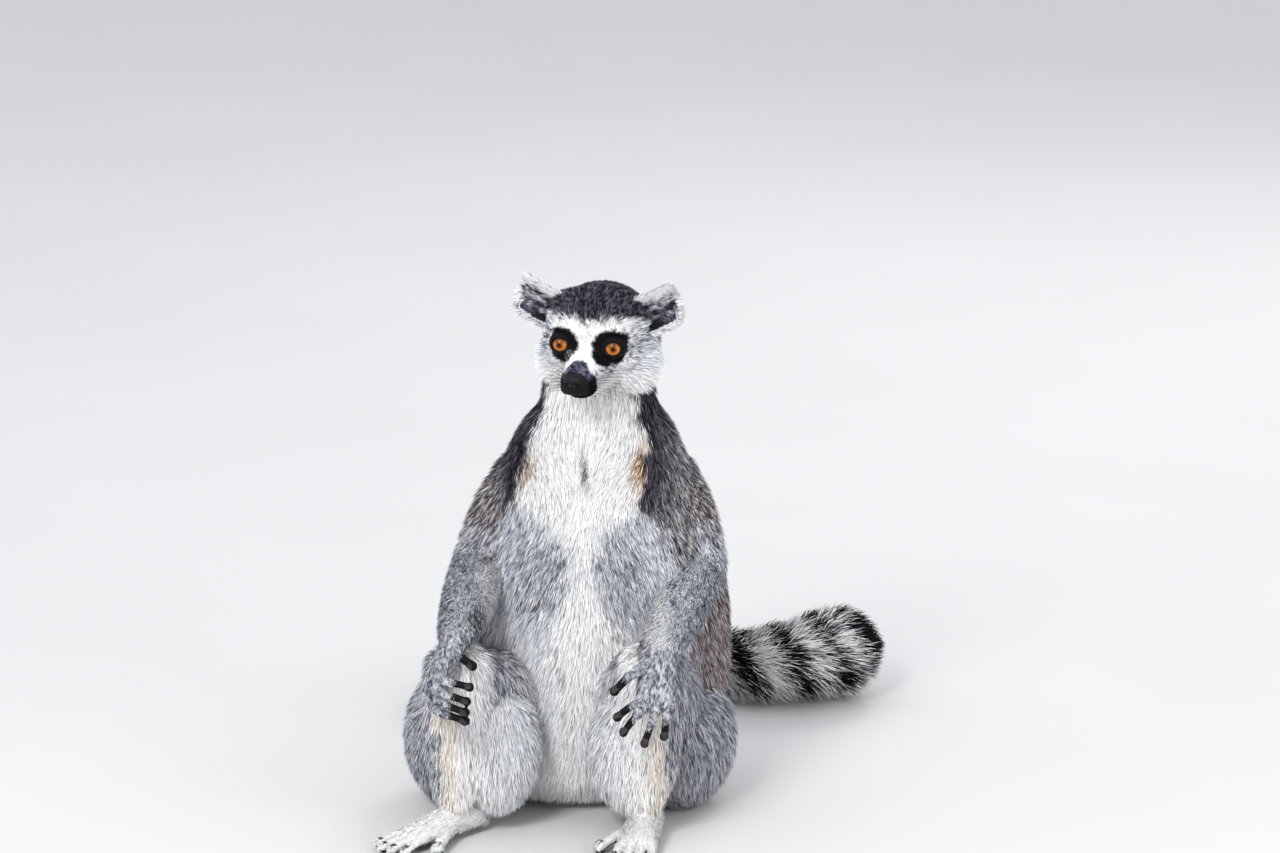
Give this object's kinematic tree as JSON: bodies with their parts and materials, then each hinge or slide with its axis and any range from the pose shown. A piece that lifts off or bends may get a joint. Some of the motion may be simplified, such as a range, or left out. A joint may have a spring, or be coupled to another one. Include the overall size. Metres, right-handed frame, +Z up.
{
  "type": "ring-tailed lemur",
  "caption": "Still, life-size ring-tailed lemur sitting upright with its hands on its knees and its tail curled behind it.",
  "frame": {"origin": "on the floor under the trunk, at the middle of the flat that the rump rests on", "axes": "+Z up, -Y towards the animal's front, +X towards its left side"},
  "size_m": [0.3598, 0.4824, 0.3843],
  "materials": {
    "coat_white": "soft white fur, thick on the chest and short on the face",
    "coat_grey": "dense grizzled grey fur with a brown cast on the back and upper arms",
    "coat_black": "black fur, in rings with white along the tail",
    "bare_skin": "bare dark skin of nose, lips, finger pads and eye rims, lightly moist",
    "eye": "wet amber eye with a small dark pupil"
  },
  "bodies": {
    "root": {"head": "coat_white", "neck": "coat_white", "trunk": "coat_white", "ear_right": "coat_white", "ear_left": "coat_white", "eye_right": "eye", "eye_left": "eye", "nose": "bare_skin", "upper_arm_right": "coat_grey", "upper_arm_left": "coat_grey", "forearm_right": "coat_grey", "forearm_left": "coat_grey", "hand_right": "coat_grey", "hand_left": "coat_grey", "thigh_right": "coat_grey", "thigh_left": "coat_grey", "shin_right": "coat_white", "shin_left": "coat_white", "foot_right": "coat_white", "foot_left": "coat_white", "tail_1": "coat_black", "tail_2": "coat_black", "tail_3": "coat_black", "tail_4": "coat_black", "tail_5": "coat_black"}
  },
  "joints": []
}
